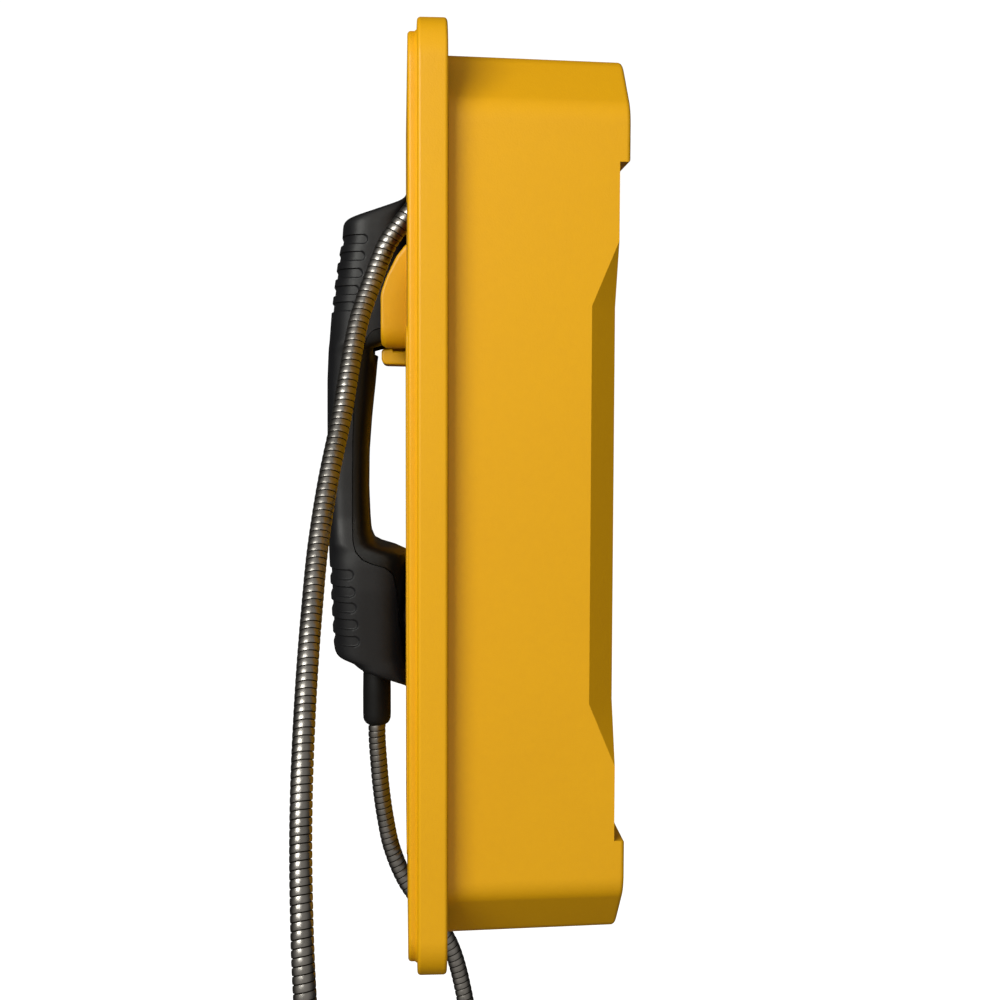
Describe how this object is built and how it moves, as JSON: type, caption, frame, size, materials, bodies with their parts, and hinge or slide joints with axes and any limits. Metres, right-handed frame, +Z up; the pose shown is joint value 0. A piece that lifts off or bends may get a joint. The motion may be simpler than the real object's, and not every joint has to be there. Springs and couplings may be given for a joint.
{
  "type": "payphone",
  "caption": "Wall-mounted payphone with a die-cast case, a corded handset resting in a cradle with a hook lever, and a recessed metal keypad.",
  "frame": {"origin": "middle of the upper wall rail's rear face, where the phone rests against the wall", "axes": "+Y into the wall, +Z up, +X to the right of someone facing the phone"},
  "size_m": [0.2466, 0.1147, 0.4682],
  "materials": {
    "yellow_paint": "fine textured powder coat over die-cast metal",
    "black_plastic": "satin moulded plastic",
    "black_rubber": "matt rubber",
    "steel_fittings": "plain stainless steel",
    "steel_cord": "strip-wound stainless hose",
    "key_metal": "brushed metal keys",
    "green_board": "solder-masked circuit board",
    "grey_plastic": "moulded plastic"
  },
  "bodies": {
    "root": {"rear_housing": "yellow_paint", "housing_gasket": "black_rubber", "front_cover": "yellow_paint", "cover_screw_1": "steel_fittings", "cover_screw_2": "steel_fittings", "cover_screw_3": "steel_fittings", "cover_screw_4": "steel_fittings", "hook_bracket": "steel_fittings", "hook_pin": "steel_fittings", "hook_spring": "steel_fittings", "hook_switch": "black_plastic", "keypad_panel": "yellow_paint", "keypad_mat": "black_rubber", "keypad_board": "green_board", "main_board": "green_board", "terminal_block": "grey_plastic", "sounder": "black_plastic", "line_grommet": "black_rubber", "cord_gland": "steel_fittings", "gland_nut": "steel_fittings", "armoured_cord": "steel_cord"},
    "handset": {"handset_outer_shell": "black_plastic", "handset_inner_shell": "black_plastic", "ear_cap": "black_plastic", "mouth_cap": "black_plastic", "receiver_capsule": "grey_plastic", "microphone_capsule": "grey_plastic", "handset_boot": "black_rubber", "handset_screw_1": "steel_fittings", "handset_screw_2": "steel_fittings"},
    "hook": {"hook_lever": "yellow_paint"},
    "key_01": {"key_01": "key_metal"},
    "key_02": {"key_02": "key_metal"},
    "key_03": {"key_03": "key_metal"},
    "key_04": {"key_04": "key_metal"},
    "key_05": {"key_05": "key_metal"},
    "key_06": {"key_06": "key_metal"},
    "key_07": {"key_07": "key_metal"},
    "key_08": {"key_08": "key_metal"},
    "key_09": {"key_09": "key_metal"},
    "key_10": {"key_10": "key_metal"},
    "key_11": {"key_11": "key_metal"},
    "key_12": {"key_12": "key_metal"}
  },
  "joints": [
    {"name": "handset_lift", "type": "slide", "parent": "root", "child": "handset", "axis": [0, -0.9701, 0.2425], "range_m": [0, 0.09]},
    {"name": "hook_pivot", "type": "hinge", "parent": "root", "child": "hook", "pos_m": [-0.05, -0.046, -0.08225], "axis": [-1, 0, 0], "range_deg": [0, 8.1]},
    {"name": "key_01_press", "type": "slide", "parent": "root", "child": "key_01", "axis": [0, 1, 0], "range_m": [0, 0.0012], "stiffness_N_per_m": 300},
    {"name": "key_02_press", "type": "slide", "parent": "root", "child": "key_02", "axis": [0, 1, 0], "range_m": [0, 0.0012], "stiffness_N_per_m": 300},
    {"name": "key_03_press", "type": "slide", "parent": "root", "child": "key_03", "axis": [0, 1, 0], "range_m": [0, 0.0012], "stiffness_N_per_m": 300},
    {"name": "key_04_press", "type": "slide", "parent": "root", "child": "key_04", "axis": [0, 1, 0], "range_m": [0, 0.0012], "stiffness_N_per_m": 300},
    {"name": "key_05_press", "type": "slide", "parent": "root", "child": "key_05", "axis": [0, 1, 0], "range_m": [0, 0.0012], "stiffness_N_per_m": 300},
    {"name": "key_06_press", "type": "slide", "parent": "root", "child": "key_06", "axis": [0, 1, 0], "range_m": [0, 0.0012], "stiffness_N_per_m": 300},
    {"name": "key_07_press", "type": "slide", "parent": "root", "child": "key_07", "axis": [0, 1, 0], "range_m": [0, 0.0012], "stiffness_N_per_m": 300},
    {"name": "key_08_press", "type": "slide", "parent": "root", "child": "key_08", "axis": [0, 1, 0], "range_m": [0, 0.0012], "stiffness_N_per_m": 300},
    {"name": "key_09_press", "type": "slide", "parent": "root", "child": "key_09", "axis": [0, 1, 0], "range_m": [0, 0.0012], "stiffness_N_per_m": 300},
    {"name": "key_10_press", "type": "slide", "parent": "root", "child": "key_10", "axis": [0, 1, 0], "range_m": [0, 0.0012], "stiffness_N_per_m": 300},
    {"name": "key_11_press", "type": "slide", "parent": "root", "child": "key_11", "axis": [0, 1, 0], "range_m": [0, 0.0012], "stiffness_N_per_m": 300},
    {"name": "key_12_press", "type": "slide", "parent": "root", "child": "key_12", "axis": [0, 1, 0], "range_m": [0, 0.0012], "stiffness_N_per_m": 300}
  ],
  "couplings": [
    {"joint": "hook_pivot", "follows": "handset_lift", "rad_per_m": 1.55}
  ]
}
